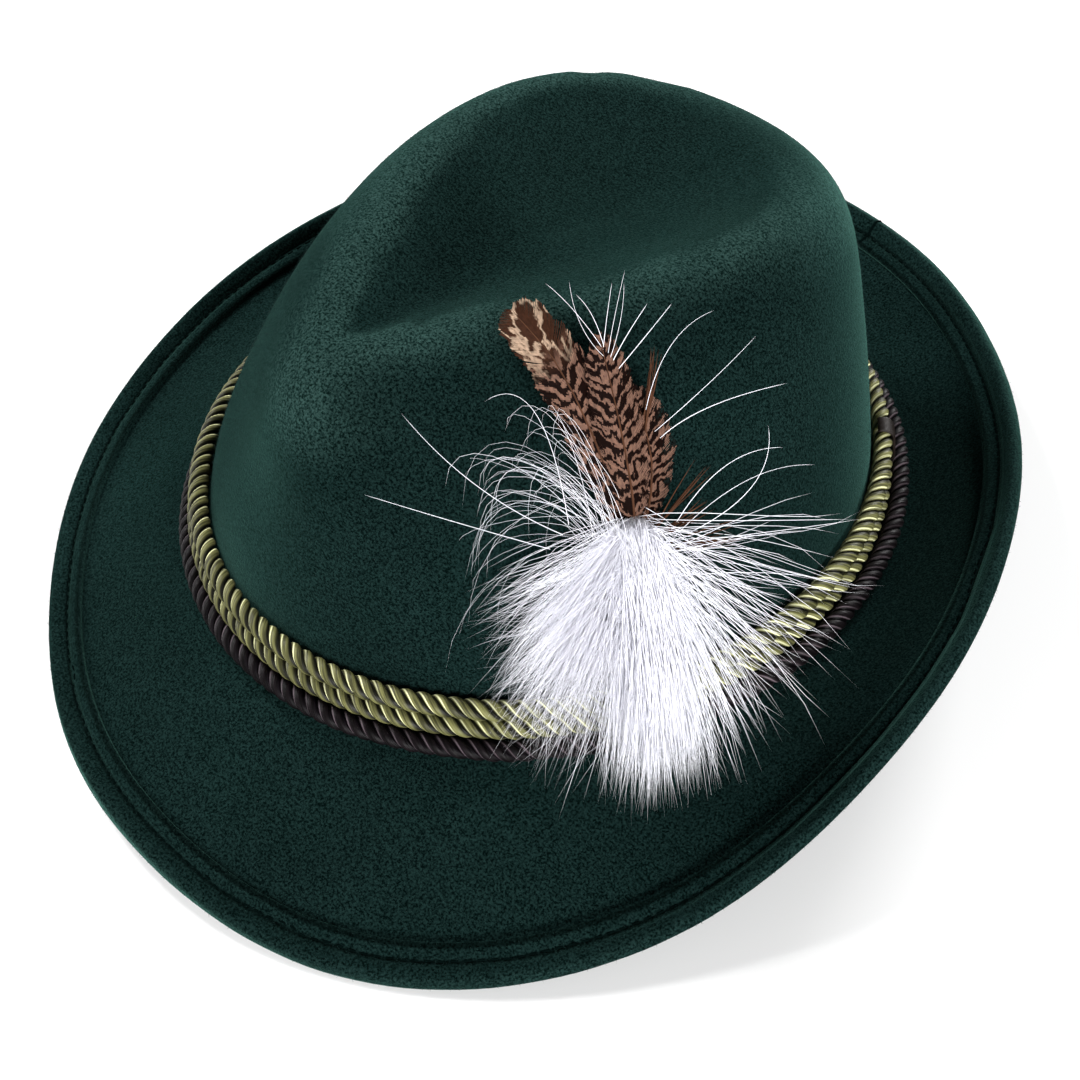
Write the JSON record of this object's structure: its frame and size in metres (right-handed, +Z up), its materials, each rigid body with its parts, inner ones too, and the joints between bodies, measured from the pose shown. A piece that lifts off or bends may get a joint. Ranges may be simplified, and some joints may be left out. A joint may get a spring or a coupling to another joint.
{
  "type": "tyrolean hat",
  "caption": "Wool-felt Tyrolean hat: teardrop crown, brim down in front and up behind, twisted cords round the crown, and a plume of barred feathers and white down.",
  "frame": {"origin": "under the middle of the hat, on the table that it rests on", "axes": "-Y the hat's front, +X the wearer's left, +Z up; the hat stands leaned back a little, as it rests by itself"},
  "size_m": [0.2742, 0.301, 0.1317],
  "materials": {
    "felt": "dark green wool felt, matt with a short nap",
    "cord_olive": "satin twisted cord, olive gold",
    "cord_brown": "satin twisted cord, dark brown",
    "thread": "dark wound thread",
    "feather": "brown feather with dark bars",
    "down": "white fluffy down"
  },
  "bodies": {
    "root": {"felt_body": "felt", "cord_top": "cord_olive", "cord_middle": "cord_olive", "cord_lower": "cord_brown", "cord_binding": "thread", "feather_short": "feather", "feather_long": "feather", "feather_middle": "feather", "plume_down": "down"}
  },
  "joints": []
}
